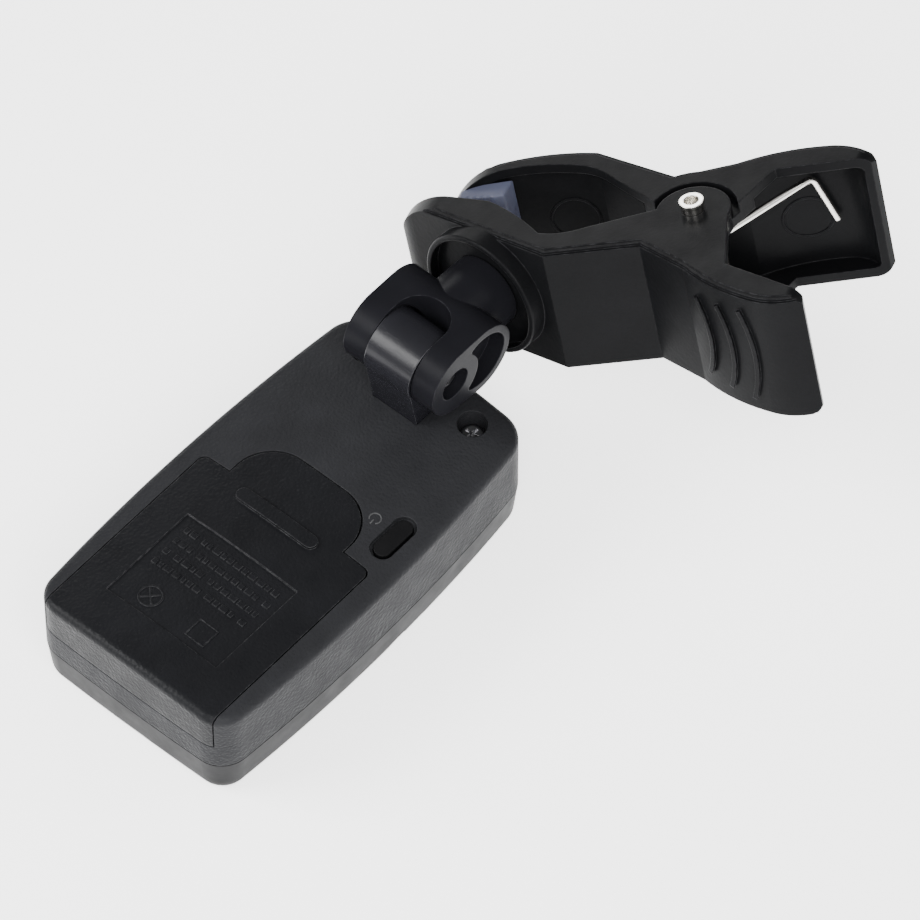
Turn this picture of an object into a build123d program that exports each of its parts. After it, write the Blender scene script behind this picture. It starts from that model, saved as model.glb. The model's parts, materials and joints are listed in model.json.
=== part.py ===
from build123d import *
import math
import os

# Clip-on instrument tuner, lying on its screen, in millimetres.
# +Z is up out of the back of the tuner head, +X runs along the head towards the hinge.
# The origin is the centre of the front face that the tuner lies on.

# ---- driving dimensions: tuner head ----
HEAD_LENGTH = 66.4
HEAD_WIDTH = 37.4
SIDE_HEIGHT = 17.8          # front face to the back's edge
CROWN = 1.2                 # how far the back rises in the middle
SPLIT_HEIGHT = 7.4          # parting line between the two shells
WALL = 1.6
NEAR_BOW, HINGE_BOW = 1.3, 2.4     # how far the sides curve in towards each end
FRONT_TAPER = 6.0           # the front shell narrows towards the screen, degrees
NEAR_CORNER = 4.5           # plan radius at the battery end
HINGE_CORNER = 5.0          # plan radius at the hinge end
FRONT_EDGE = 2.6            # rounding round the front face
BACK_EDGE = 1.2             # rounding round the back face
SHELL_GAP = 0.15

# ---- battery door, button, wells ----
DOOR_HALF = 15.3
DOOR_SHOULDER = 0.0
TONGUE_HALF = 10.4
TONGUE_END = 7.8
TONGUE_CORNER = 6.4
DOOR_THICK = 1.5
DOOR_LIP_BOTTOM = 12.0
DOOR_GAP = 0.2
LABEL_X = (-25.8, -9.1)
LABEL_HALF = 10.1
LABEL_DEPTH = 0.25
GRIP_X = -1.9
GRIP_LENGTH = 14.4
GRIP_WIDTH = 2.2
GRIP_RAISE = 0.45
BUTTON_X, BUTTON_Y = 6.5, -14.0
BUTTON_LENGTH = 7.0
BUTTON_WIDTH = 2.5
POCKET_LENGTH = 8.2
POCKET_WIDTH = 3.6
SCREW_X, SCREW_Y = 28.2, 9.7
WELL_RADIUS = 2.2
WELL_FLOOR = 15.2

# ---- inside the head ----
WINDOW_X = -4.0
WINDOW_LENGTH, WINDOW_WIDTH = 42.0, 24.0
LENS_LENGTH, LENS_WIDTH, LENS_THICK = 52.0, 30.0, 0.8
BOARD_BOTTOM = 8.2
BOARD_THICK = 1.0
CELL_RADIUS = 10.0          # CR2032 coin cell, 20 mm by 3.2 mm
CELL_THICK = 3.2
CELL_X = -11.0
CELL_BOTTOM = 12.0
LEAF = 0.3                  # thickness of the battery contacts
BUTTON_BOTTOM = 15.7
PLUNGER_BOTTOM = 10.6
PLUNGER_RADIUS = 0.8
PIEZO_X = 15.6
PIEZO_Z = 17.0
PIEZO_RADIUS = 4.5

# ---- tilt hinge and swivel arm ----
TILT_X, TILT_Z = 26.3, 28.6
LUG_HALF = 4.05
LUG_BASE_LENGTH = 7.0
LUG_BASE_X = 26.3
LUG_FOOT = 17.2
LUG_PLATE_THICK = 0.8
DRUM_RADIUS = 5.2
EAR_INNER = 4.2
EAR_OUTER = 8.2
EAR_RADIUS = 5.7
EAR_OFFSET = 0.9            # ear end centre, ahead of the tilt screw
CHEEK_REACH = 5.6           # far end centre of the cheek's outline
POST_RADIUS = 5.6
RING_REACH = 14.7           # tilt screw to the rim of the swivel socket
REST_TILT = 5.0             # how far the arm points below the head's axis
REST_ROLL = 18.0            # how far the clip is swivelled at rest
TILT_SCREW_RADIUS = 1.5
SCREW_RECESS_RADIUS = 2.6
RECESS_DEPTH = 2.7
NUT_WIDTH = 4.4
SLOT_FLOOR = 5.9            # bottom of the fork's slot, ahead of the tilt screw
LUG_SCREW_SPACING = 3.6

# ---- clip ----
JAW_ANGLE = 20.8            # clip's middle line against the socket's face
PIN_ALONG, PIN_OUT = 24.45, 20.4
JAW_HALF = 10.4
SOCKET_SHIFT = 0.5          # socket centre above the clip's middle plane
# tip, plates' distance from the middle, bulge, length and drop of the rounded nose
LOWER_FORM = (-44.2, 0.4, 0.0, 2.6, 1.9)
UPPER_FORM = (-38.4, -0.3, 1.2, 4.4, 3.0)
CUP_SLOPE = 0.365           # how the plate behind the pads falls towards the tip
TIP_CORNER = 8.6
LEVER_CORNER = 2.6
RIB_SPACING = 3.8
BACK_BEVEL = 1.2
JAW_WALL = 1.5
PAD_GAP = 0.15
EAR_STEP = 1.6              # the upper jaw's ears sit this far inside
PIN_RADIUS = 1.5
PIN_HEAD_RADIUS = 1.75
SOCKET_RADIUS = 9.8
SOCKET_RIM = 0.8
SOCKET_HEIGHT = 2.3
NECK_RADIUS = 3.0
NECK_LENGTH = 2.6           # through the jaw plate behind the socket
SOCKET_FLOOR = 1.6
WASHER_SEAT = SOCKET_FLOOR + NECK_LENGTH
BOSS_RADIUS = 5.3
PIN_PROUD = 1.7
SLEEVE_HALF = 7.0
WIRE = 0.55
COIL_RADIUS = 2.9
SPRING_HALF = 6.3           # half the coil's length along the pin
SPRING_LEAD = 30.5          # where the coil ends and a leg leaves it


def place(plane, shape):
    """Moves a shape drawn at the origin into a plane's frame."""
    return plane.location * shape


def arm_plane():
    tilt = math.radians(REST_TILT)
    along = Vector(math.cos(tilt), 0, -math.sin(tilt))
    up = Vector(math.sin(tilt), 0, math.cos(tilt))
    return Plane(origin=(TILT_X, 0, TILT_Z), x_dir=along, z_dir=up)


def swivel_plane():
    """Socket rim centre; z along the swivel axis, x along the clip, y across it."""
    arm = arm_plane()
    roll = math.radians(REST_ROLL)
    along = arm.z_dir * math.sin(roll) - Vector(0, 1, 0) * math.cos(roll)
    origin = arm.origin + arm.x_dir * RING_REACH
    return Plane(origin=origin, x_dir=along, z_dir=arm.x_dir)


def clip_plane():
    """Clip pin; x towards the levers, y towards the upper jaw, z along the pin."""
    swivel = swivel_plane()
    turn = math.radians(JAW_ANGLE)
    origin = swivel.origin + swivel.x_dir * PIN_ALONG + swivel.z_dir * PIN_OUT
    origin += swivel.y_dir * SOCKET_SHIFT
    along = swivel.x_dir * math.cos(turn) + swivel.z_dir * math.sin(turn)
    return Plane(origin=origin, x_dir=along, z_dir=-swivel.y_dir)


def socket_plane():
    """The socket rim's centre in the clip's own frame, z into the jaw."""
    turn = math.radians(JAW_ANGLE)
    along = Vector(math.cos(turn), -math.sin(turn), 0)
    inward = Vector(math.sin(turn), math.cos(turn), 0)
    origin = along * -PIN_ALONG + inward * -PIN_OUT + Vector(0, 0, SOCKET_SHIFT)
    return Plane(origin=origin, x_dir=along, z_dir=inward)


ARM = arm_plane()
CLIP = clip_plane()
SOCKET = socket_plane()


# ---------------------------------------------------------------- tuner head
def head_outline(inset=0.0):
    """Plan of the head: bowed sides, nearly straight ends, four round corners."""
    half_x = HEAD_LENGTH / 2 - inset
    half_y = HEAD_WIDTH / 2 - inset
    near_y, hinge_y = half_y - NEAR_BOW, half_y - HINGE_BOW
    near = (-half_x + 0.3, near_y)
    hinge = (half_x - 0.5, hinge_y)
    side = ThreePointArc(near, (-2.0, half_y), hinge)
    hinge_end = ThreePointArc(hinge, (half_x, 0), (hinge[0], -hinge_y))
    other = ThreePointArc((hinge[0], -hinge_y), (-2.0, -half_y), (near[0], -near_y))
    near_end = ThreePointArc((near[0], -near_y), (-half_x, 0), near)
    face = make_face(side + hinge_end + other + near_end)
    corners = face.vertices().sort_by(Axis.X)
    face = fillet(corners[:2], NEAR_CORNER - inset)
    return fillet(face.vertices().sort_by(Axis.X)[-2:], HINGE_CORNER - inset)


def crown_tool(drop=0.0):
    """Everything below the crowned back surface, lowered by drop."""
    half = HEAD_WIDTH / 2
    radius = (half ** 2 + CROWN ** 2) / (2 * CROWN)
    centre_z = SIDE_HEIGHT + CROWN - radius
    disc = Cylinder(radius - drop, HEAD_LENGTH + 20, rotation=(0, 90, 0))
    return Pos(0, 0, centre_z) * disc


def head_solid(inset=0.0, drop=0.0):
    """The whole head, or the same shape shrunk inside it for the hollow."""
    block = extrude(head_outline(inset), SIDE_HEIGHT + CROWN + 2)
    return block & crown_tool(drop)


def rounded_back():
    """The head from the parting line up, its back edge rounded."""
    solid = head_solid() & slab(SPLIT_HEIGHT + SHELL_GAP / 2, SIDE_HEIGHT + 10)
    back_rim = solid.edges().filter_by(lambda e: e.center().Z > SIDE_HEIGHT - 1.5)
    return fillet(back_rim, BACK_EDGE)


def tapered_front(inset, low):
    """The front shell's block: it narrows from the parting line down to low."""
    top = SPLIT_HEIGHT - SHELL_GAP / 2
    start = Plane(origin=(0, 0, top), z_dir=(0, 0, -1), x_dir=(1, 0, 0))
    return extrude(start * head_outline(inset), top - low, taper=FRONT_TAPER)


def slab(low, high):
    """A large plate between two heights, for splitting the head."""
    return Pos(0, 0, (low + high) / 2) * Box(HEAD_LENGTH + 20, HEAD_WIDTH + 20, high - low)


def door_plan(grow=0.0):
    """T-shaped door seen from the back; grow leaves the gap round it."""
    half = DOOR_HALF + grow
    tongue = TONGUE_HALF + grow
    end = -HEAD_LENGTH / 2 - 5
    wide = Pos((end + DOOR_SHOULDER + grow) / 2, 0) * Rectangle(DOOR_SHOULDER + grow - end, 2 * half)
    neck = Pos(TONGUE_END / 2 - 5 + grow / 2, 0) * Rectangle(TONGUE_END + 10 + grow, 2 * tongue)
    neck = fillet(neck.vertices().sort_by(Axis.X)[-2:], TONGUE_CORNER)
    plan = wide + neck
    shoulders = [v for v in plan.vertices() if abs(v.X - DOOR_SHOULDER - grow) < 0.01]
    outer = [v for v in shoulders if abs(v.Y) > tongue + 0.5]
    return fillet(outer, 1.2)


def oblong(length, width, height):
    """A bar with round ends, drawn along X."""
    return extrude(SlotOverall(length, width), height)


def door_space(grow, thick):
    """The room that the door fills: a crowned plate and the lip down the end wall."""
    plate = extrude(door_plan(grow), SIDE_HEIGHT + CROWN + 2)
    plate -= crown_tool(thick)
    lip_x = -HEAD_LENGTH / 2 + thick
    lip_z = DOOR_LIP_BOTTOM - grow
    lip = Box(12, 2 * (DOOR_HALF + grow), SIDE_HEIGHT + CROWN + 2 - lip_z,
              align=(Align.MAX, Align.CENTER, Align.MIN))
    return plate + Pos(lip_x, 0, lip_z) * lip


def battery_door():
    door = rounded_back() & door_space(0.0, DOOR_THICK)
    label_length = LABEL_X[1] - LABEL_X[0]
    label = Pos((LABEL_X[0] + LABEL_X[1]) / 2, 0, 10) * Box(label_length, 2 * LABEL_HALF, 20)
    door -= label - crown_tool(LABEL_DEPTH)
    grip = Pos(GRIP_X, 0, 10) * Rot(0, 0, 90) * oblong(GRIP_LENGTH, GRIP_WIDTH, 20)
    door += grip & (crown_tool(-GRIP_RAISE) - crown_tool(DOOR_THICK - 0.2))
    return door


def screw_post(x, y, bottom, top):
    """Boss for a self-tapping screw, with its core hole."""
    boss = Cylinder(2.6, top - bottom, align=(Align.CENTER, Align.CENTER, Align.MIN))
    core = Cylinder(0.85, top - bottom, align=(Align.CENTER, Align.CENTER, Align.MIN))
    return Pos(x, y, bottom) * (boss - core)


def front_shell():
    shell = tapered_front(0, 0)
    shell = fillet(shell.faces().sort_by(Axis.Z)[0].edges(), FRONT_EDGE)
    shell -= tapered_front(WALL, WALL)
    window = extrude(RectangleRounded(WINDOW_LENGTH, WINDOW_WIDTH, 2.0), WALL + 1)
    shell -= Pos(WINDOW_X, 0, 0) * window
    recess = extrude(RectangleRounded(LENS_LENGTH + 0.2, LENS_WIDTH + 0.2, 2.6), LENS_THICK + 0.05)
    shell -= Pos(WINDOW_X, 0, 0) * recess
    for side in (1, -1):
        shell += screw_post(SCREW_X, side * SCREW_Y, WALL - 0.1, SPLIT_HEIGHT - 0.2)
    return shell


def back_shell():
    shell = rounded_back()
    hollow = head_solid(WALL, WALL) & slab(0, SIDE_HEIGHT + 10)
    shell -= hollow
    ledge = rounded_back() & door_space(1.6, DOOR_THICK + 1.4)
    ledge -= extrude(door_plan(-1.4), 40)
    mouth = Box(12, 2 * (DOOR_HALF - 1.6), 80, align=(Align.MAX, Align.CENTER, Align.CENTER))
    ledge -= Pos(-HEAD_LENGTH / 2 + DOOR_THICK + 0.6, 0, 0) * mouth
    shell += ledge & slab(DOOR_LIP_BOTTOM - 3, SIDE_HEIGHT + 10)
    shell -= door_space(DOOR_GAP, DOOR_THICK + 0.1)
    shell -= Pos(BUTTON_X, BUTTON_Y, 10) * oblong(POCKET_LENGTH, POCKET_WIDTH, 20) - crown_tool(0.7)
    shell -= Pos(BUTTON_X, BUTTON_Y, 10) * oblong(BUTTON_LENGTH + 0.3, BUTTON_WIDTH + 0.3, 20)
    for side in (1, -1):
        shell = add_screw_well(shell, side * SCREW_Y)
    lug_slot = Box(LUG_BASE_LENGTH + 0.1, 2 * LUG_HALF + 0.1, 12)
    shell -= Pos(LUG_BASE_X, 0, SIDE_HEIGHT) * lug_slot
    return shell


def add_screw_well(shell, y):
    """A sunk tube for a case screw, open at the back, with a floor under the head."""
    depth = SIDE_HEIGHT - SPLIT_HEIGHT
    tube = Cylinder(WELL_RADIUS + 1.0, depth, align=(Align.CENTER, Align.CENTER, Align.MIN))
    place_at = Pos(SCREW_X, y, SPLIT_HEIGHT + 0.1)
    shell += (place_at * tube) & head_solid()
    well = Cylinder(WELL_RADIUS, 20, align=(Align.CENTER, Align.CENTER, Align.MIN))
    shell -= Pos(SCREW_X, y, WELL_FLOOR) * well
    shell -= Pos(SCREW_X, y, 0) * Cylinder(1.15, 60)
    return shell


def power_button():
    """Cap with a flange that keeps it in the shell."""
    cap = oblong(BUTTON_LENGTH, BUTTON_WIDTH, 20) & Pos(-BUTTON_X, -BUTTON_Y, 0) * crown_tool(0.1)
    cap &= Pos(0, 0, 10 + BUTTON_BOTTOM) * Box(20, 20, 20)
    flange = Pos(0, 0, BUTTON_BOTTOM) * oblong(BUTTON_LENGTH + 1.2, BUTTON_WIDTH + 1.2, 0.8)
    return Pos(BUTTON_X, BUTTON_Y, 0) * (cap + flange)


# ---------------------------------------------------------------- inside the head
def display_lens():
    lens = extrude(RectangleRounded(LENS_LENGTH, LENS_WIDTH, 2.5), LENS_THICK)
    return Pos(WINDOW_X, 0, 0) * lens


def lcd_panel():
    """Two bonded glasses: the lower one is longer, to carry the contacts."""
    front = Pos(0, 0, WALL + 0.2) * Box(46, 28, 1.0, align=(Align.CENTER, Align.CENTER, Align.MIN))
    rear = Pos(1.0, 0, WALL + 1.2) * Box(48, 28, 1.0, align=(Align.CENTER, Align.CENTER, Align.MIN))
    return Pos(WINDOW_X, 0, 0) * (front + rear)


def light_guide():
    """Clear block behind the display that spreads the backlight."""
    guide = Pos(WINDOW_X, 0, WALL + 2.4) * Box(46, 27, 2.2, align=(Align.CENTER, Align.CENTER, Align.MIN))
    edges = guide.edges().filter_by(Axis.Z)
    return fillet(edges, 1.0)


def display_connector():
    """Rubber strip that joins the display's contacts to the board."""
    low = WALL + 2.25
    strip = Box(1.8, 26, BOARD_BOTTOM - 0.05 - low, align=(Align.CENTER, Align.CENTER, Align.MIN))
    return Pos(WINDOW_X + 24.1, 0, low) * strip


def circuit_board():
    board = extrude(head_outline(WALL + 1.2), BOARD_THICK)
    board &= Pos(-1.5, 0, 0) * Box(58, 60, 10)
    for side in (1, -1):
        board -= Pos(SCREW_X, side * SCREW_Y, 0) * Cylinder(WELL_RADIUS + 1.3, 10)
    return Pos(0, 0, BOARD_BOTTOM) * board


def tuner_chip():
    """Domed resin blob over the tuner's bare chip."""
    dome = Sphere(7.0) & Pos(0, 0, 7.0) * Box(20, 20, 3.2)
    return Pos(12.0, 6.0, BOARD_BOTTOM + BOARD_THICK + 0.02 - 5.4) * dome


def tact_switch():
    """Square switch on the board with a bore for its plunger."""
    body = Box(6.0, 3.4, 2.4, align=(Align.CENTER, Align.CENTER, Align.MIN))
    body = Pos(BUTTON_X, BUTTON_Y, BOARD_BOTTOM + BOARD_THICK) * body
    bore = Cylinder(PLUNGER_RADIUS + 0.08, 9, align=(Align.CENTER, Align.CENTER, Align.MIN))
    return body - Pos(BUTTON_X, BUTTON_Y, PLUNGER_BOTTOM - 0.6) * bore


def switch_plunger():
    height = BUTTON_BOTTOM - 0.02 - PLUNGER_BOTTOM
    plunger = Cylinder(PLUNGER_RADIUS, height, align=(Align.CENTER, Align.CENTER, Align.MIN))
    return Pos(BUTTON_X, BUTTON_Y, PLUNGER_BOTTOM) * plunger


def battery_holder():
    """Moulded cup that holds the coin cell over the board, slotted for the contacts."""
    low, high = BOARD_BOTTOM + BOARD_THICK + 0.02, CELL_BOTTOM + CELL_THICK
    cup = Cylinder(CELL_RADIUS + 1.5, high - low, align=(Align.CENTER, Align.CENTER, Align.MIN))
    bore = Cylinder(CELL_RADIUS + 0.3, 20, align=(Align.CENTER, Align.CENTER, Align.MIN))
    cup -= Pos(0, 0, CELL_BOTTOM - 0.1 - low) * bore
    under = Cylinder(CELL_RADIUS + 0.3, 20, align=(Align.CENTER, Align.CENTER, Align.MAX))
    cup -= Pos(0, 0, CELL_BOTTOM - 0.9 - low) * under
    cup -= Pos(CELL_RADIUS + 1.0, 0, 0) * Box(4.4, 5.0, 40)
    cup -= Pos(3.0, 0, 0) * Box(12.0, 4.0, 2 * (CELL_BOTTOM - low))
    return Pos(CELL_X, 0, low) * cup


def coin_cell():
    cell = Cylinder(CELL_RADIUS, CELL_THICK, align=(Align.CENTER, Align.CENTER, Align.MIN))
    cell = chamfer(cell.edges(), 0.3)
    return Pos(CELL_X, 0, CELL_BOTTOM) * cell


def spring_contact(x, y, low, high, turn):
    """Bent strip: a foot on the board and a tongue that reaches the cell."""
    strip = LEAF
    foot = Box(4.0, 3.0, strip, align=(Align.MIN, Align.CENTER, Align.MIN))
    riser = Box(strip, 3.0, high - low, align=(Align.MIN, Align.CENTER, Align.MIN))
    tongue = Pos(0, 0, high - low - strip) * Box(4.5, 3.0, strip, align=(Align.MAX, Align.CENTER, Align.MIN))
    return Pos(x, y, low) * Rot(0, 0, turn) * (foot + riser + Pos(strip, 0, 0) * tongue)


def negative_contact():
    """Leaf under the cell."""
    board_top = BOARD_BOTTOM + BOARD_THICK
    return spring_contact(CELL_X + 3.0, 0, board_top, CELL_BOTTOM - 0.02, 0)


def positive_contact():
    """Leaf that presses on the cell's rim."""
    board_top = BOARD_BOTTOM + BOARD_THICK
    leaf = Box(LEAF, 3.0, CELL_BOTTOM + 2.6 - board_top, align=(Align.MIN, Align.CENTER, Align.MIN))
    foot = Box(4.0, 3.0, LEAF, align=(Align.MIN, Align.CENTER, Align.MIN))
    return Pos(CELL_X + CELL_RADIUS + 0.05, 0, board_top) * (leaf + foot)


def piezo_disc():
    """Brass vibration pickup with its ceramic layer, under the hinge lug."""
    brass = Cylinder(PIEZO_RADIUS, 0.25, align=(Align.CENTER, Align.CENTER, Align.MIN))
    ceramic = Cylinder(PIEZO_RADIUS - 1.3, 0.25, align=(Align.CENTER, Align.CENTER, Align.MIN))
    return Pos(PIEZO_X, 0, PIEZO_Z) * (brass + Pos(0, 0, -0.25) * ceramic)


def lug_plate():
    """Steel plate inside the back shell that spreads the hinge lug's load."""
    plate = Box(10.0, 12.0, LUG_PLATE_THICK, align=(Align.CENTER, Align.CENTER, Align.MAX))
    for side in (1, -1):
        plate -= Pos(side * LUG_SCREW_SPACING / 2, 0, 0) * Cylinder(1.0, 5)
    return Pos(LUG_BASE_X, 0, LUG_FOOT - 0.01) * plate


def lug_screws():
    """Two screws from inside the head up into the hinge lug."""
    screws = []
    for side in (1, -1):
        shank = Cylinder(0.85, 4.5, align=(Align.CENTER, Align.CENTER, Align.MIN))
        head = Cylinder(1.6, 1.0, align=(Align.CENTER, Align.CENTER, Align.MAX))
        at = Pos(LUG_BASE_X + side * LUG_SCREW_SPACING / 2, 0, LUG_FOOT - LUG_PLATE_THICK - 0.02)
        screws.append(at * (shank + head))
    return Compound(children=screws)


def cross_screw(head_radius, head_height, shank_radius, shank_length):
    """Pan-head screw pointing down, its head's underside at the origin."""
    head = Cylinder(head_radius, head_height, align=(Align.CENTER, Align.CENTER, Align.MIN))
    head = fillet(head.edges().sort_by(Axis.Z)[-1], head_height * 0.45)
    for turn in (0, 90):
        slot = Rot(0, 0, turn) * Box(head_radius * 1.25, head_radius * 0.28, head_height * 1.2)
        head -= Pos(0, 0, head_height) * slot
    shank = Cylinder(shank_radius, shank_length, align=(Align.CENTER, Align.CENTER, Align.MAX))
    return head + shank


def shell_screws():
    screws = []
    for side in (1, -1):
        screw = cross_screw(1.75, 1.1, 0.8, WELL_FLOOR - WALL - 1.0)
        screws.append(Pos(SCREW_X, side * SCREW_Y, WELL_FLOOR + 0.02) * screw)
    return Compound(children=screws)


# ---------------------------------------------------------------- tilt hinge
def hinge_lug():
    """Knuckle on a block that stands on a foot inside the back shell."""
    drum = Rot(90, 0, 0) * Cylinder(DRUM_RADIUS, 2 * LUG_HALF)
    drum = Pos(TILT_X, 0, TILT_Z) * drum
    half = LUG_BASE_LENGTH / 2
    skin, top = 2.2, TILT_Z - LUG_FOOT - 3.4
    neck = Polygon((-half, 0), (half, 0), (half, skin), (half - 1.0, top),
                   (0.1 - DRUM_RADIUS, TILT_Z - LUG_FOOT), (-half, skin), align=None)
    block = extrude(Plane.XZ.offset(-LUG_HALF) * neck, 2 * LUG_HALF)
    lug = drum + Pos(LUG_BASE_X, 0, LUG_FOOT) * block
    lug -= Pos(TILT_X, 0, TILT_Z) * Rot(90, 0, 0) * Cylinder(TILT_SCREW_RADIUS + 0.06, 20)
    for side in (1, -1):
        core = Cylinder(0.9, 4.6, align=(Align.CENTER, Align.CENTER, Align.MIN))
        lug -= Pos(LUG_BASE_X + side * LUG_SCREW_SPACING / 2, 0, LUG_FOOT) * core
    return lug


def cheek_outline():
    """Side view of the arm: a stadium along its axis."""
    near = Pos(EAR_OFFSET, 0) * Circle(EAR_RADIUS)
    far = Pos(CHEEK_REACH, 0) * Circle(EAR_RADIUS + 0.3)
    return make_hull((near.edges() + far.edges()))


def swivel_arm():
    """Fork with two ears, a post, and a neck that turns in the clip's socket."""
    body = extrude(Plane.XZ.offset(-EAR_OUTER) * cheek_outline(), 2 * EAR_OUTER)
    for side in (1, -1):
        body -= cheek_relief(side)
    post = Cylinder(POST_RADIUS, RING_REACH + SOCKET_FLOOR - 0.25 - 5.0, rotation=(0, 90, 0),
                    align=(Align.CENTER, Align.CENTER, Align.MIN))
    body += Pos(5.0, 0, 0) * post
    neck_length = NECK_LENGTH + 0.25
    neck = Cylinder(NECK_RADIUS, neck_length, rotation=(0, 90, 0),
                    align=(Align.CENTER, Align.CENTER, Align.MIN))
    body += Pos(RING_REACH + SOCKET_FLOOR - 0.25, 0, 0) * neck
    body -= fork_slot()
    body -= Rot(90, 0, 0) * Cylinder(TILT_SCREW_RADIUS + 0.06, 40)
    body -= Pos(0, -EAR_OUTER, 0) * Rot(90, 0, 0) * Cylinder(SCREW_RECESS_RADIUS, 2 * RECESS_DEPTH)
    body -= Pos(0, EAR_OUTER, 0) * Rot(90, 0, 0) * nut_prism(NUT_WIDTH + 0.1, 2 * RECESS_DEPTH)
    core_length = 7.0
    core = Cylinder(1.0, core_length, rotation=(0, 90, 0), align=(Align.CENTER, Align.CENTER, Align.MAX))
    body -= Pos(RING_REACH + SOCKET_FLOOR + NECK_LENGTH + 0.1, 0, 0) * core
    return place(ARM, body)


def fork_slot():
    """Room between the ears for the lug over the whole tilt."""
    slot = Box(30, 2 * EAR_INNER, 30, align=(Align.MAX, Align.CENTER, Align.CENTER))
    slot = Pos(SLOT_FLOOR - EAR_INNER, 0, 0) * (slot + Cylinder(EAR_INNER, 30))
    slot += Rot(90, 0, 0) * Cylinder(DRUM_RADIUS + 0.35, 2 * EAR_INNER)
    under = Polygon((-5, 0), (SLOT_FLOOR - 0.6, -1.0), (9.4, -7.0), (-5, -12), align=None)
    return slot + extrude(Plane.XZ * under, EAR_INNER, both=True)


def cheek_relief(side):
    """Crescent pocket in each cheek, round the boss of the tilt screw."""
    outline = Pos(CHEEK_REACH, 0) * Circle(EAR_RADIUS - 0.9) - Circle(SCREW_RECESS_RADIUS + 2.2)
    outline -= Pos(CHEEK_REACH - 9, 0) * Rectangle(10, 20)
    outline = fillet(outline.vertices(), 0.6)
    depth = 2.6
    pocket = extrude(Plane.XZ.offset(-depth) * outline, depth)
    return Pos(0, side * (EAR_OUTER - depth if side > 0 else EAR_OUTER), 0) * pocket


def nut_prism(across_flats, height):
    return extrude(RegularPolygon(across_flats / 2, 6, major_radius=False), height / 2, both=True)


def tilt_screw():
    """Screw through both ears and the lug, its head in the recess."""
    head_seat = -(EAR_OUTER - RECESS_DEPTH)
    screw = cross_screw(2.3, 1.2, TILT_SCREW_RADIUS, EAR_OUTER - RECESS_DEPTH - head_seat + 1.8)
    return place(ARM, Pos(0, head_seat - 0.02, 0) * Rot(90, 0, 0) * screw)


def tilt_nut():
    nut = nut_prism(NUT_WIDTH, 1.6) - Cylinder(TILT_SCREW_RADIUS + 0.02, 5)
    return place(ARM, Pos(0, EAR_OUTER - RECESS_DEPTH + 0.84, 0) * Rot(90, 0, 0) * nut)


# ---------------------------------------------------------------- clip
def jaw_back(form, inset=0.0):
    """The jaw's outer line from tip to lever end, in the clip's side view.

    Drawn for the upper jaw. form gives where the tip ends, how far the plates stand away
    from the middle, the cup plate's bulge and the nose's rounding; inset moves in to the
    plate's inside.
    """
    tip_x, shift, bulge, nose_length, nose_drop = form
    shoulder = (-18.2, 11.9 + shift - inset)
    nose_x = tip_x + nose_length + inset * 0.6
    nose = (nose_x, shoulder[1] - CUP_SLOPE * (shoulder[0] - nose_x))
    tip = (tip_x + inset, nose[1] - nose_drop + inset * 0.4)
    nose_round = TangentArc(nose, tip, tangent=(-1, -CUP_SLOPE)) @ 0.5
    waist = (-5.2, 8.0 + shift - inset)
    rise = (2.6 + inset * 0.5, 12.0 + shift - inset)
    crest = (14.6, 17.6 + shift - inset)
    end = (21.6 - inset, 16.2 + shift - inset)
    middle = ((nose[0] + shoulder[0]) / 2 - 1.5, (nose[1] + shoulder[1]) / 2 - 0.5 + bulge)
    cup = ThreePointArc(nose, middle, shoulder) if bulge else Line(nose, shoulder)
    bow = ((rise[0] + crest[0]) / 2 - 0.5, (rise[1] + crest[1]) / 2 + 0.55)
    turn = ((crest[0] + end[0]) / 2 + 0.1, (crest[1] + end[1]) / 2 + 0.75)
    plates = ThreePointArc(tip, nose_round, nose) + cup + Polyline(shoulder, waist, rise)
    return plates + ThreePointArc(rise, bow, crest) + ThreePointArc(crest, turn, end)


def side_profile(form, arch_lead, arch_bow, arch_top):
    """Side wall of the jaw: from its back line to its free edge, with the boss at the pin."""
    back = jaw_back(form)
    tip, end = back @ 0, back @ 1
    lip = (tip.X + 0.4, arch_lead[1] - 0.6)
    edge = Polyline((end.X, end.Y), (21.2, end.Y - 1.3), (8.6, 10.6 + form[1]), (BOSS_RADIUS, 0.6),
                    (-BOSS_RADIUS, 0.6), (-13.5, 5.4), (-15.6, 6.7))
    arch = ThreePointArc((-15.6, 6.7), (-17.6, 7.5), arch_top)
    lead = ThreePointArc(arch_top, arch_bow, arch_lead)
    close = Polyline(arch_lead, lip, (tip.X, tip.Y))
    return make_face(back + edge + arch + lead + close) + Circle(BOSS_RADIUS)


def plan_tool(form, inset=0.0):
    """The jaw's plan, with round tip corners, swept square to the clip's middle plane."""
    low, high = form[0] - 0.4 + inset, 21.8 - inset
    plan = Pos((low + high) / 2, 0) * Rectangle(high - low, 2 * (JAW_HALF - inset))
    plan = fillet(plan.vertices().sort_by(Axis.X)[:2], TIP_CORNER - inset)
    plan = fillet(plan.vertices().sort_by(Axis.X)[-2:], LEVER_CORNER - inset * 0.8)
    return extrude(Plane.XZ * plan, 60, both=True)


def hollow_tool(form):
    """Room inside the channel: under the plate and between the side walls."""
    line = jaw_back(form, JAW_WALL)
    start, end = line @ 0, line @ 1
    close = Polyline((end.X, end.Y), (end.X, -40), (start.X, -40), (start.X, start.Y))
    room = extrude(make_face(line + close), JAW_HALF, both=True)
    return room & plan_tool(form, JAW_WALL)


def bevel_tool(form):
    """Everything inside the rounded band that runs along both edges of the jaw's back."""
    tool = Part()
    for turn in (0, 30, 60):
        drop = BACK_BEVEL * (1 - math.sin(math.radians(turn)))
        half = JAW_HALF - BACK_BEVEL * (1 - math.cos(math.radians(turn)))
        line = Pos(0, -drop) * jaw_back(form)
        start, end = line @ 0, line @ 1
        close = Polyline((end.X, end.Y), (end.X + 3, end.Y), (end.X + 3, -40), (start.X - 3, -40),
                         (start.X - 3, start.Y), (start.X, start.Y))
        tool += extrude(make_face(line + close), half, both=True)
    return tool


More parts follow.
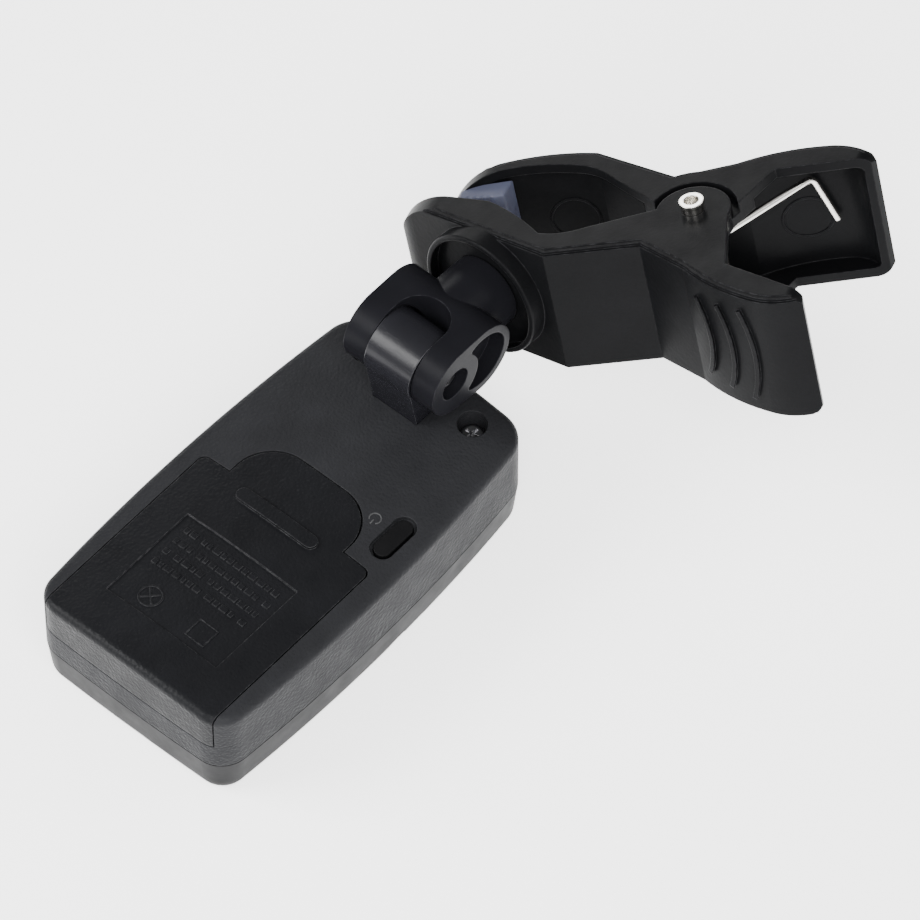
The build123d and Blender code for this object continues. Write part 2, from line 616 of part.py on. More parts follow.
def jaw_blank(form, arch):
    blank = extrude(side_profile(form, *arch), JAW_HALF, both=True)
    blank &= bevel_tool(form)
    blank &= plan_tool(form)
    return blank - hollow_tool(form) + grip_ribs(form)


def grip_ribs(form):
    """Three curved ribs across the back of a lever."""
    ribs = Part()
    for index in range(3):
        x, half = 5.6 + index * RIB_SPACING, 6.6 + index * 0.5
        arc = ThreePointArc((x - 1.0, -half), (x + 0.5, 0), (x - 1.0, half))
        ribs += extrude(Plane.XZ * trace(arc, 0.7), -40)
    outer, inner = jaw_back(form, -0.4), jaw_back(form, 0.4)
    skin = make_face(outer + Line(outer @ 1, inner @ 1) + inner + Line(inner @ 0, outer @ 0))
    return ribs & extrude(skin, JAW_HALF, both=True)


def lower_jaw_blank():
    """Jaw that faces the tuner: its ears are the outer pair."""
    jaw = jaw_blank(LOWER_FORM, ((-30.0, 1.7), (-24.6, 4.6), (-20.4, 7.8)))
    return mirror(jaw, Plane.XZ) - Cylinder(PIN_RADIUS + 0.05, 60)


def swivel_socket():
    """Raised ring and floor in which the arm's neck turns."""
    tube = Cylinder(SOCKET_RADIUS, SOCKET_HEIGHT + 1.0, align=(Align.CENTER, Align.CENTER, Align.MIN))
    tube = fillet(tube.edges().sort_by(Axis.Z)[0], 0.3)
    bowl = Cylinder(SOCKET_RADIUS - SOCKET_RIM, SOCKET_FLOOR, align=(Align.CENTER, Align.CENTER, Align.MIN))
    return SOCKET.location * (tube - bowl), SOCKET.location * bowl


def lower_jaw():
    jaw = lower_jaw_blank()
    ring, bowl = swivel_socket()
    thick = Cylinder(SOCKET_RADIUS - 0.2, WASHER_SEAT - 1.1,
                     align=(Align.CENTER, Align.CENTER, Align.MIN))
    jaw += SOCKET.location * (Pos(0, 0, 1.0) * thick)
    jaw += ring
    jaw -= bowl
    bore = Cylinder(NECK_RADIUS + 0.06, 12)
    jaw -= SOCKET.location * bore
    return place(CLIP, jaw)


def ear_web(form, arch):
    """Thick patch of wall round the pin; its outside is then cut back for the lower jaw."""
    profile = side_profile(form, *arch) & Circle(BOSS_RADIUS + 3.4)
    low = JAW_HALF - EAR_STEP - JAW_WALL
    return extrude(profile, JAW_HALF, both=True) - Box(60, 60, 2 * low)


def upper_jaw():
    """Jaw whose ears sit inside the lower jaw's pair."""
    arch = ((-36.0, 1.9), (-29.6, 5.8), (-21.0, 7.7))
    jaw = jaw_blank(UPPER_FORM, arch) + ear_web(UPPER_FORM, arch)
    jaw -= Cylinder(BOSS_RADIUS + 1.0, 60) - Cylinder(BOSS_RADIUS + 2, 2 * (JAW_HALF - EAR_STEP))
    return place(CLIP, jaw - Cylinder(PIN_RADIUS + 0.05, 60))


def pad_block(outline, form):
    pad = extrude(make_face(outline), JAW_HALF - JAW_WALL - PAD_GAP, both=True)
    return pad & plan_tool(form, JAW_WALL + PAD_GAP)


def upper_pad():
    """Plain closed pad inside the jaw's tip, its face just off the middle plane."""
    outline = Polyline((-36.3, 0.25), (-29.2, 1.9), (-29.2, 5.9), (-35.0, 3.1), (-36.3, 2.0), close=True)
    return place(CLIP, pad_block(outline, UPPER_FORM))


def lower_pad():
    """Pad in the other jaw, hollowed over the swivel's washer and screw."""
    outline = Polyline((-39.6, -0.25), (-27.5, -1.6), (-27.5, -5.5), (-33.5, -4.3), (-37.2, -2.8),
                       (-39.6, -1.9), close=True)
    pad = pad_block(outline, LOWER_FORM)
    room = Cylinder(4.4, WASHER_SEAT + 2.0, align=(Align.CENTER, Align.CENTER, Align.MIN))
    return place(CLIP, pad - SOCKET.location * room)


def clip_pin():
    """Tubular rivet with rolled ends."""
    reach = JAW_HALF + PIN_PROUD
    pin = Cylinder(PIN_RADIUS, 2 * reach)
    for side in (1, -1):
        lip = Cylinder(PIN_HEAD_RADIUS, 0.6)
        pin += Pos(0, 0, side * (reach - 0.3)) * lip
        pin -= Pos(0, 0, side * (reach - 1.0)) * Cylinder(1.05, 2.2)
    return place(CLIP, pin)


def spring_sleeve():
    """Plastic tube on the pin that the spring's coil sits on."""
    sleeve = Cylinder(PIN_RADIUS + 0.55, 2 * SLEEVE_HALF) - Cylinder(PIN_RADIUS + 0.05, 60)
    return place(CLIP, sleeve)


def torsion_spring():
    """Coil round the sleeve with a leg on each lever; each leg ends in a hook."""
    turns = 10 - 2 * SPRING_LEAD / 360
    coil = Helix(2 * SPRING_HALF / turns, 2 * SPRING_HALF, COIL_RADIUS, center=(0, 0, -SPRING_HALF))
    coil = Rot(0, 0, SPRING_LEAD) * coil
    wire = sweep(Plane(origin=coil @ 0, z_dir=coil % 0) * Circle(WIRE), path=coil)
    for root, side in ((coil @ 1, 1), (coil @ 0, -1)):
        wire += Pos(*root) * Sphere(WIRE + 0.02)
        wire += spring_leg(root, side)
    return place(CLIP, wire)


def spring_leg(root, side):
    """Straight leg to the lever's inside and a hook that lies across it."""
    knee = (12.1, side * 14.1, root.Z)
    toe = (14.5, side * 14.9, root.Z - side * 7.6)
    path = FilletPolyline((root.X, root.Y, root.Z), knee, toe, radius=1.3)
    return sweep(Plane(origin=path @ 0, z_dir=path % 0) * Circle(WIRE), path=path)


def swivel_washer():
    washer = Cylinder(4.0, 0.6, align=(Align.CENTER, Align.CENTER, Align.MIN)) - Cylinder(1.4, 5)
    return place(CLIP, SOCKET.location * (Pos(0, 0, WASHER_SEAT) * washer))


def swivel_screw():
    """Holds the arm's neck in the socket from inside the jaw."""
    screw = cross_screw(2.6, 1.0, 0.95, 6.0)
    return place(CLIP, SOCKET.location * (Pos(0, 0, WASHER_SEAT + 0.62) * screw))


NODES = {
    "front_shell": front_shell,
    "back_shell": back_shell,
    "battery_door": battery_door,
    "display_lens": display_lens,
    "lcd_panel": lcd_panel,
    "light_guide": light_guide,
    "display_connector": display_connector,
    "circuit_board": circuit_board,
    "tuner_chip": tuner_chip,
    "tact_switch": tact_switch,
    "switch_plunger": switch_plunger,
    "battery_holder": battery_holder,
    "power_button": power_button,
    "coin_cell": coin_cell,
    "negative_contact": negative_contact,
    "positive_contact": positive_contact,
    "piezo_disc": piezo_disc,
    "shell_screws": shell_screws,
    "hinge_lug": hinge_lug,
    "lug_screws": lug_screws,
    "lug_plate": lug_plate,
    "swivel_arm": swivel_arm,
    "tilt_screw": tilt_screw,
    "tilt_nut": tilt_nut,
    "lower_jaw": lower_jaw,
    "upper_jaw": upper_jaw,
    "lower_pad": lower_pad,
    "upper_pad": upper_pad,
    "swivel_washer": swivel_washer,
    "swivel_screw": swivel_screw,
    "clip_pin": clip_pin,
    "spring_sleeve": spring_sleeve,
    "torsion_spring": torsion_spring,
}

os.makedirs("parts", exist_ok=True)
for name, make in NODES.items():
    export_step(make(), f"parts/{name}.step")
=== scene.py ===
import json
import math
import random

import bpy
import bmesh
from mathutils import Matrix, Vector
from mathutils.bvhtree import BVHTree


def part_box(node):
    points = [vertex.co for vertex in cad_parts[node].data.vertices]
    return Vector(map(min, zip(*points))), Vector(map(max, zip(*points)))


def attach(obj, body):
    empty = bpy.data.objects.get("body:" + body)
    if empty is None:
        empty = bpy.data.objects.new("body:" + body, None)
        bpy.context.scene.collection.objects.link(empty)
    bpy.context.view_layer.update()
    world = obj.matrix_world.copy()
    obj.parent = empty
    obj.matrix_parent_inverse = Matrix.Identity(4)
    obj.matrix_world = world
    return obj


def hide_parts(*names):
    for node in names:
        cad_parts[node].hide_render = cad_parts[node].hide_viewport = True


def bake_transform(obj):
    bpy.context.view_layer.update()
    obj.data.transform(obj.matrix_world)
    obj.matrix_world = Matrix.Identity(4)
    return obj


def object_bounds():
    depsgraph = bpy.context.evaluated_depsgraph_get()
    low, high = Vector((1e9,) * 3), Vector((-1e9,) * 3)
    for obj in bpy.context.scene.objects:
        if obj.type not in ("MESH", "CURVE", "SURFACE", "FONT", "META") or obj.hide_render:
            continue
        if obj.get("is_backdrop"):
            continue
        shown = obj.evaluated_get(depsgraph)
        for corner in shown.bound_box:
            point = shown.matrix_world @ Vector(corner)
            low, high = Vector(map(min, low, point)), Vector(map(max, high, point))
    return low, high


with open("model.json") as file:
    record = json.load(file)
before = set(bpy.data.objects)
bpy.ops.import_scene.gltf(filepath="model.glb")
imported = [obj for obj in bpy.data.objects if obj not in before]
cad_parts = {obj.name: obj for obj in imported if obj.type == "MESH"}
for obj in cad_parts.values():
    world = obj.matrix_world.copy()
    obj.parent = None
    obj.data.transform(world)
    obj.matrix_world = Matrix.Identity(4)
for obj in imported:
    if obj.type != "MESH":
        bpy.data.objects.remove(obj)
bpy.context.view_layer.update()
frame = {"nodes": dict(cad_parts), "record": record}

MM = 0.001
JAW_ANGLE = math.radians(20.8)      # clip's middle line against the socket's face
random.seed(4)

# ------------------------------------------------------------------ frames
joints = {j["name"]: j for j in frame["record"]["behaviour"]["joints"]}
clip_origin = Vector(joints["jaw_open"]["pos_m"])
clip_z = -Vector(joints["jaw_open"]["axis"]).normalized()
swivel_axis = Vector(joints["swivel"]["axis"]).normalized()
across = (-clip_z).cross(swivel_axis).normalized()
clip_x = (across * math.cos(JAW_ANGLE) + swivel_axis * math.sin(JAW_ANGLE)).normalized()
clip_y = clip_z.cross(clip_x).normalized()
CLIP = Matrix((
    (clip_x.x, clip_y.x, clip_z.x, clip_origin.x),
    (clip_x.y, clip_y.y, clip_z.y, clip_origin.y),
    (clip_x.z, clip_y.z, clip_z.z, clip_origin.z),
    (0, 0, 0, 1),
))


# ------------------------------------------------------------------ shader helpers
def node(tree, kind, **values):
    made = tree.nodes.new(kind)
    for key, value in values.items():
        setattr(made, key, value)
    return made


def noise(tree, coords, scale, detail=3.0, rough=0.5):
    made = node(tree, "ShaderNodeTexNoise")
    made.inputs["Scale"].default_value = scale
    made.inputs["Detail"].default_value = detail
    made.inputs["Roughness"].default_value = rough
    tree.links.new(coords, made.inputs["Vector"])
    return made.outputs["Fac"]


def ramp(tree, source, low, high, out_low=0.0, out_high=1.0):
    made = node(tree, "ShaderNodeMapRange")
    limits = {"From Min": low, "From Max": high, "To Min": out_low, "To Max": out_high}
    for name, value in limits.items():
        made.inputs[name].default_value = value
    tree.links.new(source, made.inputs["Value"])
    return made.outputs["Result"]


def stretched(tree, coords, scale):
    made = node(tree, "ShaderNodeMapping")
    made.inputs["Scale"].default_value = scale
    tree.links.new(coords, made.inputs["Vector"])
    return made.outputs["Vector"]


def edge_mask(tree, radius):
    """White where a rounded edge would turn away from the flat face."""
    bevel = node(tree, "ShaderNodeBevel", samples=6)
    bevel.inputs["Radius"].default_value = radius
    geometry = node(tree, "ShaderNodeNewGeometry")
    dot = node(tree, "ShaderNodeVectorMath", operation="DOT_PRODUCT")
    tree.links.new(bevel.outputs["Normal"], dot.inputs[0])
    tree.links.new(geometry.outputs["Normal"], dot.inputs[1])
    return bevel.outputs["Normal"], ramp(tree, dot.outputs["Value"], 0.97, 0.80)


def surface(name, colour, rough, metal=0.0, grain=0.0, grain_scale=2600, mottle=0.12, edge_wear_and_highlight=0.0,
            edge_wear_and_highlight_colour=(0.35, 0.35, 0.36), edge=0.00022, scratches=0.0, coat=0.0, alpha=1.0,
            transmission=0.0, subsurface=0.0, specular=0.5, spark=0.0, relief_depth=0.00006):
    """One procedural finish: mottled colour, fine grain, soft edges, and a lighter colour along those
    edges that is partly wear and partly a painted highlight.
    """
    material = bpy.data.materials.new(name)
    material.use_nodes = True
    tree = material.node_tree
    shader = tree.nodes["Principled BSDF"]
    coords = node(tree, "ShaderNodeTexCoord").outputs["Object"]
    soft_normal, edges = edge_mask(tree, edge)

    patches = noise(tree, coords, 140, 4.0)
    tone = ramp(tree, patches, 0.3, 0.7, 1 - mottle, 1 + mottle)
    base = node(tree, "ShaderNodeVectorMath", operation="SCALE")
    base.inputs[0].default_value = colour
    tree.links.new(tone, base.inputs["Scale"])
    # Lighter colour along the rounded edges: partly patchy wear, partly a painted highlight standing in
    # for light catching the edges.
    wear_and_highlight_mix = node(tree, "ShaderNodeMixRGB")
    wear_and_highlight_mix.inputs["Color2"].default_value = (*edge_wear_and_highlight_colour, 1)
    tree.links.new(base.outputs["Vector"], wear_and_highlight_mix.inputs["Color1"])
    patchy = ramp(tree, noise(tree, coords, 900, 5.0, 0.65), 0.42, 0.62, 0.15 * edge_wear_and_highlight, edge_wear_and_highlight)
    amount = node(tree, "ShaderNodeMath", operation="MULTIPLY")
    tree.links.new(patchy, amount.inputs[0])
    tree.links.new(edges, amount.inputs[1])
    tree.links.new(amount.outputs[0], wear_and_highlight_mix.inputs["Fac"])
    tree.links.new(wear_and_highlight_mix.outputs["Color"], shader.inputs["Base Color"])

    smudge = ramp(tree, noise(tree, coords, 260, 6.0, 0.6), 0.3, 0.7,
                  rough * 0.85, min(1.0, rough * 1.15))
    tree.links.new(smudge, shader.inputs["Roughness"])

    height = noise(tree, coords, grain_scale, 2.0, 0.6)
    if spark:
        cells = node(tree, "ShaderNodeTexVoronoi", feature="SMOOTH_F1")
        cells.inputs["Scale"].default_value = grain_scale * 0.8
        tree.links.new(coords, cells.inputs["Vector"])
        both = node(tree, "ShaderNodeMath", operation="MULTIPLY_ADD")
        both.inputs[1].default_value = spark
        tree.links.new(cells.outputs["Distance"], both.inputs[0])
        tree.links.new(height, both.inputs[2])
        height = both.outputs[0]
    if scratches:
        lines = noise(tree, stretched(tree, coords, (9000, 260, 9000)), 1.0, 2.0)
        thin = ramp(tree, lines, 0.66, 0.72, 0.0, scratches)
        both = node(tree, "ShaderNodeMath", operation="ADD")
        tree.links.new(thin, both.inputs[0])
        tree.links.new(height, both.inputs[1])
        height = both.outputs[0]
    bump = node(tree, "ShaderNodeBump")
    bump.inputs["Strength"].default_value = min(1.0, grain)
    bump.inputs["Distance"].default_value = relief_depth
    tree.links.new(height, bump.inputs["Height"])
    tree.links.new(soft_normal, bump.inputs["Normal"])
    tree.links.new(bump.outputs["Normal"], shader.inputs["Normal"])

    for key, value in (("Metallic", metal), ("Coat Weight", coat), ("Coat Roughness", 0.12),
                       ("Transmission Weight", transmission), ("Alpha", alpha),
                       ("Subsurface Weight", subsurface), ("Specular IOR Level", specular)):
        if key in shader.inputs:
            shader.inputs[key].default_value = value
    return material


BLACK = (0.0165, 0.0168, 0.0184)
FINISH = {
    "shell": surface("shell_texture", BLACK, 0.44, grain=0.8, grain_scale=2800, edge_wear_and_highlight=0.6, spark=1.0,
                     edge_wear_and_highlight_colour=(0.050, 0.050, 0.053), specular=0.055, relief_depth=0.00009),
    "front": surface("front_smooth", (0.0095, 0.0095, 0.0102), 0.42, grain=0.10, edge_wear_and_highlight=0.5,
                     edge_wear_and_highlight_colour=(0.050, 0.050, 0.052), specular=0.06),
    # Door: its light edge colour is partly wear and partly a painted highlight that outlines the grip bar
    # and edges.
    "door": surface("door_texture", (0.0062, 0.0064, 0.0074), 0.42, grain=0.75, grain_scale=2800, edge_wear_and_highlight=0.9,
                    spark=1.0, edge_wear_and_highlight_colour=(0.065, 0.065, 0.068), specular=0.10, relief_depth=0.00008),
    "button": surface("button_rubber", (0.0030, 0.0030, 0.0034), 0.55, grain=0.35, mottle=0.06,
                      specular=0.12),
    "arm": surface("arm_gloss", (0.0075, 0.0075, 0.0092), 0.32, grain=0.10, edge_wear_and_highlight=0.4, edge=0.00022,
                   edge_wear_and_highlight_colour=(0.07, 0.07, 0.08), specular=0.035),
    # Lug: its light edge colour is partly wear and partly a painted highlight standing in for glints on
    # the drum's scratches.
    "lug": surface("lug_gloss", (0.0100, 0.0100, 0.0124), 0.24, grain=0.16, edge_wear_and_highlight=0.7, scratches=2.5,
                   edge_wear_and_highlight_colour=(0.12, 0.12, 0.13), specular=0.20, coat=0.03),
    "jaw": surface("jaw_satin", (0.0048, 0.0049, 0.0054), 0.34, grain=0.35, grain_scale=1500, edge_wear_and_highlight=0.45,
                   edge=0.00025, edge_wear_and_highlight_colour=(0.06, 0.06, 0.064), specular=0.042),
    "pad": surface("pad_rubber", (0.052, 0.057, 0.092), 0.60, grain=0.5, grain_scale=1100, mottle=0.10,
                   subsurface=0.03),
    "nickel": surface("nickel_wire", (0.78, 0.76, 0.72), 0.20, metal=1.0, grain=0.10, mottle=0.05,
                      scratches=1.0, edge_wear_and_highlight=0.3, edge_wear_and_highlight_colour=(0.55, 0.52, 0.47)),
    "zinc": surface("zinc_screw", (0.36, 0.36, 0.37), 0.30, metal=1.0, grain=0.25, mottle=0.10, edge_wear_and_highlight=0.4,
                    edge_wear_and_highlight_colour=(0.85, 0.85, 0.85), edge=0.0001),
    "dark_screw": surface("blackened_screw", (0.16, 0.16, 0.17), 0.32, metal=1.0, grain=0.25, edge_wear_and_highlight=0.5,
                          edge_wear_and_highlight_colour=(0.7, 0.7, 0.7), edge=0.0001),
    "steel": surface("steel_plate", (0.55, 0.55, 0.56), 0.36, metal=1.0, grain=0.30, mottle=0.08,
                     scratches=1.2),
    "brass": surface("brass_leaf", (0.72, 0.55, 0.26), 0.30, metal=1.0, grain=0.2, mottle=0.08),
    "board": surface("board_green", (0.010, 0.085, 0.035), 0.35, grain=0.2, mottle=0.2),
    "resin": surface("resin_blob", (0.008, 0.008, 0.008), 0.25, grain=0.15, coat=0.4),
    "moulded": surface("moulded_dark", (0.05, 0.05, 0.052), 0.5, grain=0.4),
    "ivory": surface("moulded_ivory", (0.62, 0.59, 0.50), 0.45, grain=0.3),
    "strip": surface("rubber_strip", (0.42, 0.18, 0.24), 0.6, grain=0.3),
    "guide": surface("frosted_guide", (0.80, 0.83, 0.86), 0.35, grain=0.3, transmission=0.4),
    "panel": surface("lcd_grey", (0.16, 0.20, 0.15), 0.15, grain=0.05, coat=0.5),
    "lens": surface("lens_smoke", (0.02, 0.022, 0.026), 0.05, grain=0.03, coat=0.6, alpha=0.9),
    "icon": surface("icon_grey", (0.035, 0.035, 0.037), 0.5, grain=0.2),
}
CAD_FINISH = {
    "front_shell": "front", "back_shell": "shell", "battery_door": "door", "display_lens": "lens",
    "lcd_panel": "panel", "light_guide": "guide", "display_connector": "strip", "circuit_board": "board",
    "tuner_chip": "resin", "tact_switch": "moulded", "switch_plunger": "ivory", "power_button": "button",
    "battery_holder": "moulded", "coin_cell": "steel", "negative_contact": "brass",
    "positive_contact": "brass", "piezo_disc": "brass", "shell_screws": "zinc", "hinge_lug": "lug",
    "lug_screws": "steel", "lug_plate": "steel", "swivel_arm": "arm", "tilt_screw": "dark_screw",
    "tilt_nut": "steel", "lower_jaw": "jaw", "upper_jaw": "jaw", "lower_pad": "pad", "upper_pad": "pad",
    "swivel_washer": "steel", "swivel_screw": "zinc", "clip_pin": "nickel", "spring_sleeve": "ivory",
    "torsion_spring": "nickel",
}
for name, kind in CAD_FINISH.items():
    mesh = frame["nodes"][name].data
    mesh.materials.clear()
    mesh.materials.append(FINISH[kind])


# ------------------------------------------------------------------ mesh helpers
def as_object(name, bm, finish, smooth=True):
    bmesh.ops.recalc_face_normals(bm, faces=bm.faces)
    mesh = bpy.data.meshes.new(name)
    bm.to_mesh(mesh)
    bm.free()
    for face in mesh.polygons:
        face.use_smooth = smooth
    made = bpy.data.objects.new(name, mesh)
    bpy.context.scene.collection.objects.link(made)
    mesh.materials.append(FINISH[finish])
    return made


def soften(made, width, segments=3):
    """Rounds every sharp edge of a mesh."""
    bevel = made.modifiers.new("soft_edges", "BEVEL")
    bevel.width = width
    bevel.segments = segments
    bevel.limit_method = "ANGLE"
    bevel.angle_limit = math.radians(30)
    bevel.harden_normals = False
    return made


def prism(name, outline, low, high, finish, frame_matrix):
    """A closed outline in a frame's x and y, run from low to high along its z, in millimetres."""
    bm = bmesh.new()
    lower = [bm.verts.new(frame_matrix @ Vector((x * MM, y * MM, low * MM))) for x, y in outline]
    upper = [bm.verts.new(frame_matrix @ Vector((x * MM, y * MM, high * MM))) for x, y in outline]
    count = len(outline)
    for i in range(count):
        j = (i + 1) % count
        bm.faces.new((lower[i], lower[j], upper[j], upper[i]))
    bm.faces.new(lower)
    bm.faces.new(upper)
    return as_object(name, bm, finish, smooth=False)


SURFACES = {}


def skin_of(node_name):
    """The CAD node's surface, for laying small relief on it."""
    if node_name not in SURFACES:
        mesh = frame["nodes"][node_name].data
        points = [v.co.copy() for v in mesh.vertices]
        SURFACES[node_name] = BVHTree.FromPolygons(points, [tuple(p.vertices) for p in mesh.polygons])
    return SURFACES[node_name]


def lay_bead(bm, node_name, path, ray, width, height, closed=False):
    """Adds a low bead to bm along a path of points, pressed onto a CAD node along ray.

    width and height are in millimetres.
    """
    tree, ray = skin_of(node_name), Vector(ray).normalized()
    count, rows = len(path), []
    for i, point in enumerate(path):
        after = path[(i + 1) % count] if closed else path[min(i + 1, count - 1)]
        before = path[i - 1] if closed else path[max(i - 1, 0)]
        side = (Vector(after) - Vector(before)).cross(ray).normalized() * (width / 2 * MM)
        row = []
        for offset, lift in ((-1.0, -0.06), (-0.7, height), (0.7, height), (1.0, -0.06)):
            start = Vector(point) + side * offset
            hit = tree.ray_cast(start, ray)[0]
            if hit is None:
                return
            row.append(hit - ray * (lift * MM))
        rows.append([bm.verts.new(p) for p in row])
    for i in range(count if closed else count - 1):
        a, b = rows[i], rows[(i + 1) % count]
        for k in range(4):
            bm.faces.new((a[k], a[(k + 1) % 4], b[(k + 1) % 4], b[k]))
    if not closed:
        bm.faces.new(rows[0])
        bm.faces.new(rows[-1])


def arc_path(centre, u, v, radius, start=0.0, sweep=360.0, steps=36):
    """Points round an arc; u and v are unit directions, radius in millimetres."""
    count = steps if sweep >= 360 else steps + 1
    turns = [math.radians(start + sweep * i / steps) for i in range(count)]
    return [centre + (u * math.cos(t) + v * math.sin(t)) * (radius * MM) for t in turns]


def relief(name, bm, finish, body):
    made = as_object(name, bm, finish, smooth=False)
    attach(made, body)
    return made


# ------------------------------------------------------------------ stage
FLOOR_GLOW = 2.0
SKY = 1.3
CAMERA_DISTANCE, FRAME_WIDTH = 1.15, 0.1278
AZIMUTH, ELEVATION = math.radians(-49.2), math.radians(54.1)
AIM_OFFSET = Vector((-3.48, 3.93, -7.31)) * MM      # from the middle of the object's box
LIGHTS = (      # name, place, target, side, power
    ("left_box", (-0.45, 0.45, 0.50), (0.0, 0.0, 0.02), 0.45, 9.0),
    ("front_box", (-0.35, -0.45, 0.60), (0.03, -0.02, 0.03), 0.45, 7.5),
    ("right_box", (0.50, -0.35, 0.45), (0.03, -0.02, 0.03), 0.35, 1.2),
    ("far_box", (0.50, 0.66, 0.36), (0.05, -0.01, 0.03), 0.30, 1.8),
)


def studio():
    reach = 3.0
    bm = bmesh.new()
    signs = ((-1, -1), (1, -1), (1, 1), (-1, 1))
    bm.faces.new([bm.verts.new((x * reach, y * reach, 0)) for x, y in signs])
    paper = bpy.data.materials.new("paper_floor")
    paper.use_nodes = True
    shader = paper.node_tree.nodes["Principled BSDF"]
    shader.inputs["Base Color"].default_value = (0.93, 0.93, 0.93, 1)
    shader.inputs["Roughness"].default_value = 0.9
    mesh = bpy.data.meshes.new("floor")
    bm.to_mesh(mesh)
    bm.free()
    mesh.materials.append(paper)
    floor = bpy.data.objects.new("floor", mesh)
    bpy.context.scene.collection.objects.link(floor)
    floor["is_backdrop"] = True

    shader.inputs["Emission Color"].default_value = (1.0, 1.0, 1.0, 1)
    shader.inputs["Emission Strength"].default_value = FLOOR_GLOW

    world = bpy.data.worlds.new("studio")
    bpy.context.scene.world = world
    world.use_nodes = True
    tree = world.node_tree
    coords = node(tree, "ShaderNodeTexCoord").outputs["Generated"]
    lean = node(tree, "ShaderNodeVectorMath", operation="DOT_PRODUCT")
    lean.inputs[1].default_value = (-0.55, -0.60, 0.10)
    tree.links.new(coords, lean.inputs[0])
    tree.links.new(ramp(tree, lean.outputs["Value"], -0.5, 0.6, 0.10, SKY),
                   tree.nodes["Background"].inputs["Strength"])
    tree.nodes["Background"].inputs["Color"].default_value = (1.0, 1.0, 1.0, 1)

    for name, place_at, target, side, power in LIGHTS:
        light = bpy.data.lights.new(name, "AREA")
        light.size = side
        light.energy = power
        lamp = bpy.data.objects.new(name, light)
        lamp.location = place_at
        lamp.rotation_mode = "QUATERNION"
        lamp.rotation_quaternion = (Vector(target) - Vector(place_at)).to_track_quat("-Z", "Y")
        bpy.context.scene.collection.objects.link(lamp)


def camera():
    """Long lens from the battery end's right, 54 degrees above the table."""
    back = Vector((math.sin(AZIMUTH) * math.cos(ELEVATION), -math.cos(AZIMUTH) * math.cos(ELEVATION),
                   math.sin(ELEVATION)))
    low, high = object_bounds()
    target = (low + high) / 2 + AIM_OFFSET
    lens = bpy.data.cameras.new("camera")
    lens.sensor_width = 36
    lens.lens = lens.sensor_width * CAMERA_DISTANCE / FRAME_WIDTH
    lens.clip_start, lens.clip_end = 0.05, 20
    made = bpy.data.objects.new("camera", lens)
    made.location = target + back * CAMERA_DISTANCE
    made.rotation_mode = "QUATERNION"
    made.rotation_quaternion = (-back).to_track_quat("-Z", "Y")
    bpy.context.scene.collection.objects.link(made)
    bpy.context.scene.camera = made


# ------------------------------------------------------------------ pads
def rubber_pad(name, outline, half, node_name, body):
    """Moulded pad: a ribbed grip face, soft corners."""
    pad = prism(name, outline, -half, half, "pad", CLIP)
    soften(pad, 0.45 * MM, 3)
    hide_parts(node_name)
    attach(pad, body)
    return pad


def pad_outlines():
    upper = [(-36.0, 2.1), (-35.9, 0.45), (-34.9, 0.5), (-34.4, 0.95), (-33.9, 0.72), (-33.4, 1.15),
             (-32.9, 0.95), (-32.4, 1.4), (-31.9, 1.2), (-31.4, 1.65), (-30.9, 1.45), (-30.2, 1.75),
             (-29.4, 2.0), (-29.4, 5.6), (-35.2, 3.3)]
    lower = [(-39.2, -2.4), (-39.2, -0.45), (-37.6, -0.55), (-36.8, -0.75), (-35.6, -0.85),
             (-34.4, -1.0), (-33.0, -1.15), (-31.6, -1.3), (-30.0, -1.5), (-27.8, -1.8), (-27.8, -4.0),
             (-33.5, -3.9), (-37.0, -2.8)]
    return upper, lower


upper_outline, lower_outline = pad_outlines()
rubber_pad("upper_pad_rubber", upper_outline, 8.6, "upper_pad", "upper_jaw")
rubber_pad("lower_pad_rubber", lower_outline, 8.6, "lower_pad", "lower_jaw")

# ------------------------------------------------------------------ small relief on the CAD skins
UP, DOWN = Vector((0, 0, 1)), Vector((0, 0, -1))
X, Y = Vector((1, 0, 0)), Vector((0, 1, 0))


def clip_point(x, y, z):
    return CLIP @ Vector((x * MM, y * MM, z * MM))


def sprung_wire():
    """A copy of the spring's mesh in place of the hidden CAD spring, with its placement baked into the
    mesh.
    """
    plain = frame["nodes"]["torsion_spring"]
    wire = bpy.data.objects.new("spring_wire", plain.data.copy())
    wire.matrix_world = plain.matrix_world.copy()
    bpy.context.scene.collection.objects.link(wire)
    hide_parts("torsion_spring")
    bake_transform(wire)


MARK_WIDTH, MARK_HEIGHT = 0.26, 0.07        # power symbol
SIGN_WIDTH, SIGN_HEIGHT = 0.35, 0.10        # plain signs on the door
DASH_WIDTH, ROW_SPACING = 1.15, 2.2         # rows of dashes on the door
EJECTOR_WIDTH, EJECTOR_HEIGHT = 0.45, 0.14  # circles inside the jaws


def power_mark():
    """The usual circle and bar beside the button."""
    low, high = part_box("power_button")
    centre = (low + high) / 2 + Vector((0.7, 3.9, 6.0)) * MM
    bm = bmesh.new()
    lay_bead(bm, "back_shell", arc_path(centre, -X, -Y, 0.85, 40, 280, 24), DOWN, MARK_WIDTH, MARK_HEIGHT)
    lay_bead(bm, "back_shell", [centre - X * 0.3 * MM, centre - X * 1.15 * MM], DOWN,
             MARK_WIDTH, MARK_HEIGHT)
    relief("power_mark", bm, "icon", "tuner_head")


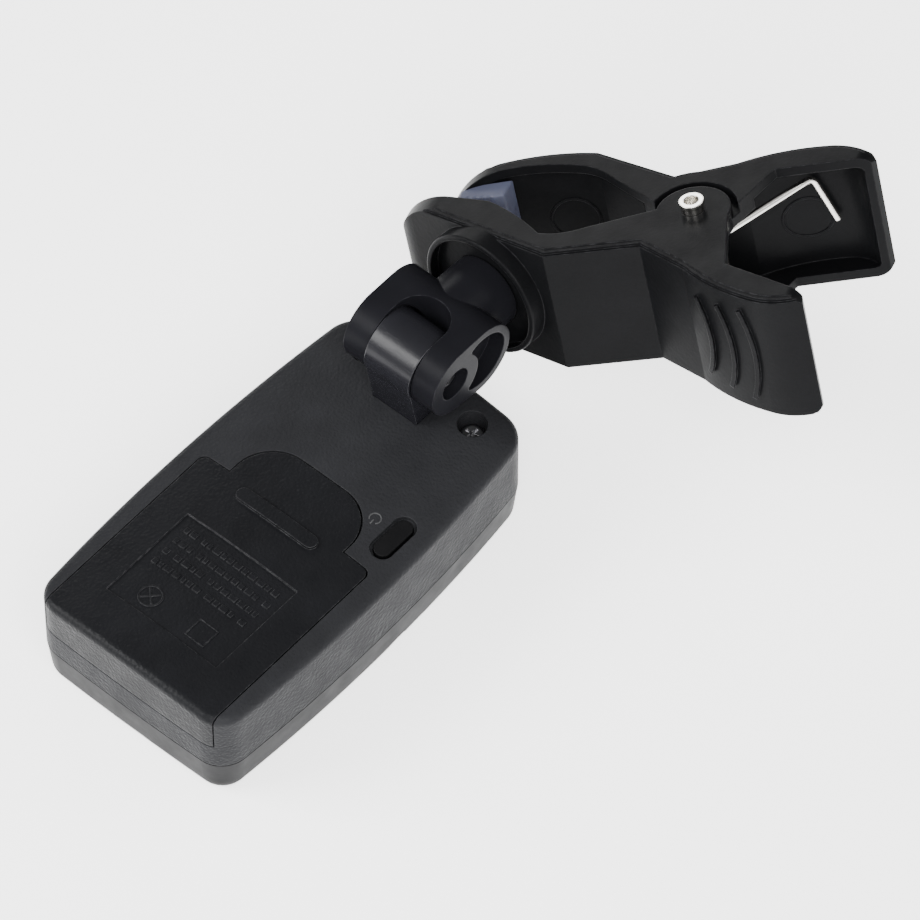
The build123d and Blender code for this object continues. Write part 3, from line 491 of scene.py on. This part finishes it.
def label_relief():
    """Rows of plain raised dashes and two plain signs where a moulded label would be."""
    low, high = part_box("battery_door")
    middle = (low.y + high.y) / 2
    bm = bmesh.new()
    for row in range(4):
        x = low.x + (21.9 - row * ROW_SPACING) * MM
        y = middle + 8.6 * MM
        while y > middle - 8.0 * MM:
            length = random.uniform(0.6, 1.3) * MM
            lay_bead(bm, "battery_door", [Vector((x, y, 0.05)), Vector((x, y - length, 0.05))], DOWN,
                     DASH_WIDTH, SIGN_HEIGHT)
            y -= length + random.choice((0.35, 0.35, 0.4, 1.1)) * MM
    ring = Vector((low.x + 10.4 * MM, middle + 4.6 * MM, 0.05))
    lay_bead(bm, "battery_door", arc_path(ring, X, Y, 1.7), DOWN, SIGN_WIDTH, SIGN_HEIGHT, closed=True)
    for side in (-1, 1):
        lay_bead(bm, "battery_door", [ring + (X * side - Y) * 1.0 * MM, ring + (Y - X * side) * 1.0 * MM],
                 DOWN, SIGN_WIDTH, SIGN_HEIGHT)
    square = Vector((low.x + 10.4 * MM, middle - 4.8 * MM, 0.05))
    corners = [square + (X * a + Y * b) * 1.6 * MM for a, b in ((-1, -1), (1, -1), (1, 1), (-1, 1))]
    lay_bead(bm, "battery_door", corners, DOWN, SIGN_WIDTH, SIGN_HEIGHT, closed=True)
    relief("label_relief", bm, "door", "battery_door")


def moulding_marks():
    """Ejector-pin circles on the inside of both jaws."""
    bm = bmesh.new()
    for x, z, radius in ((-22.8, -0.6, 3.4), (10.4, -1.0, 3.3)):
        centre = clip_point(x, 2.0 if x < 0 else 6.5, z)
        lay_bead(bm, "upper_jaw", arc_path(centre, clip_x, clip_z, radius, steps=48), clip_y,
                 EJECTOR_WIDTH, EJECTOR_HEIGHT, closed=True)
    relief("upper_jaw_marks", bm, "jaw", "upper_jaw")
    bm = bmesh.new()
    centre = clip_point(10.4, -6.5, -1.0)
    lay_bead(bm, "lower_jaw", arc_path(centre, clip_x, clip_z, 3.3, steps=48), -clip_y,
             EJECTOR_WIDTH, EJECTOR_HEIGHT, closed=True)
    relief("lower_jaw_marks", bm, "jaw", "lower_jaw")


sprung_wire()
power_mark()
label_relief()
moulding_marks()

studio()
camera()
